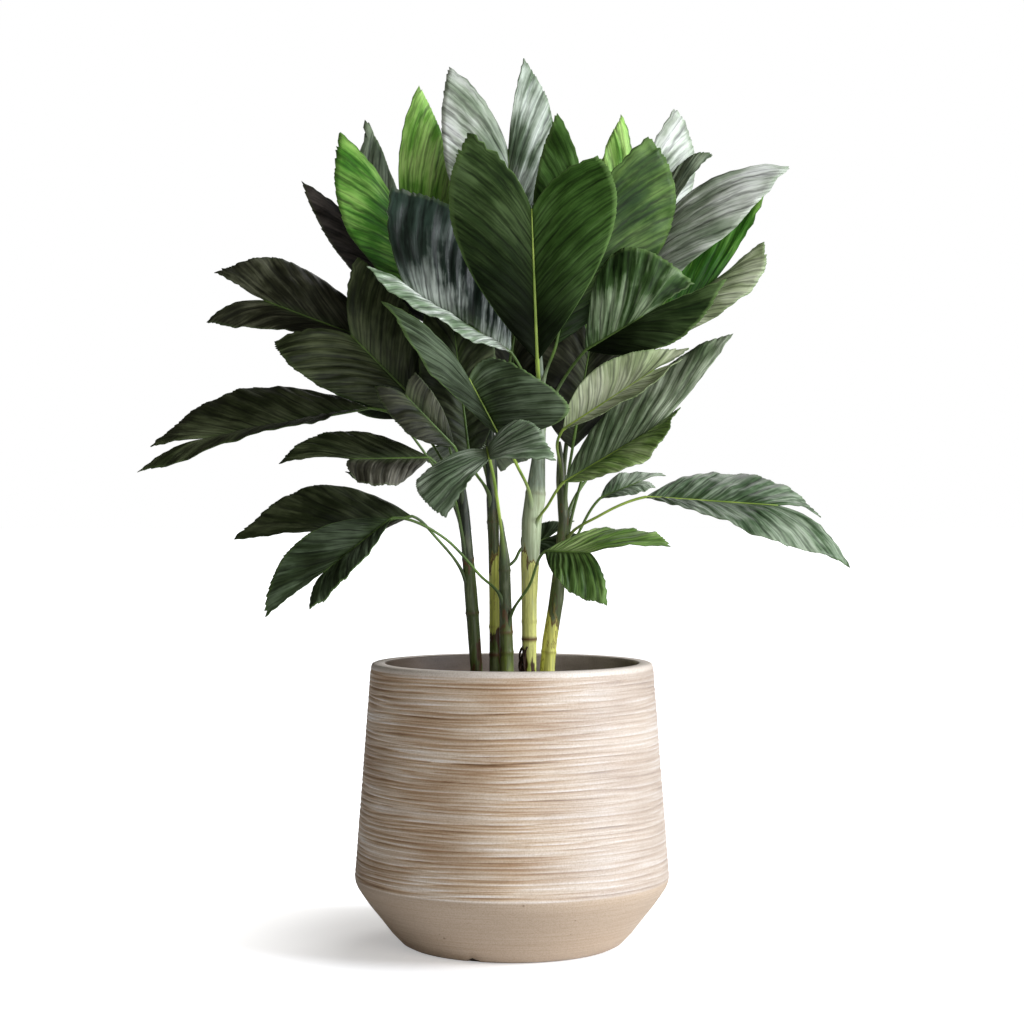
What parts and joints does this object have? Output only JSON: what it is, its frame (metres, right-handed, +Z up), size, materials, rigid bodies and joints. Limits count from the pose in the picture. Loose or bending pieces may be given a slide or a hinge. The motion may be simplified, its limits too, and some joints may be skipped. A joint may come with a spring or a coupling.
{
  "type": "potted metallic palm",
  "caption": "Leafy palm with slender ringed canes and pleated fish-tail fronds, growing in soil in a round ribbed pot with a tapered foot.",
  "frame": {"origin": "middle of the pot's underside, on the surface that it stands on", "axes": "+Z up along the pot's axis, -Y towards the plant's front, +X to the right as seen from the front"},
  "size_m": [0.8403, 0.4655, 1.0932],
  "materials": {
    "pot_clay": "matt, ribbed stoneware",
    "soil": "loose dark potting soil",
    "cane": "smooth green ringed bark",
    "leaf": "waxy dark green with a metallic sheen"
  },
  "bodies": {
    "root": {"pot": "pot_clay", "soil": "soil", "cane_1": "cane", "cane_2": "cane", "cane_3": "cane", "cane_4": "cane", "cane_5": "cane", "frond_01": "leaf", "frond_02": "leaf", "frond_03": "leaf", "frond_04": "leaf", "frond_05": "leaf", "frond_06": "leaf", "frond_07": "leaf", "frond_08": "leaf", "frond_09": "leaf", "frond_10": "leaf", "frond_11": "leaf", "frond_12": "leaf", "frond_13": "leaf", "frond_14": "leaf", "frond_15": "leaf", "frond_16": "leaf", "frond_17": "leaf", "frond_18": "leaf", "frond_19": "leaf", "frond_20": "leaf", "frond_21": "leaf", "frond_22": "leaf", "frond_23": "leaf", "frond_24": "leaf", "frond_25": "leaf", "frond_26": "leaf", "frond_27": "leaf", "frond_28": "leaf", "frond_29": "leaf", "frond_30": "leaf", "frond_31": "leaf", "frond_32": "leaf", "frond_33": "leaf", "frond_34": "leaf", "frond_35": "leaf", "frond_36": "leaf"}
  },
  "joints": []
}
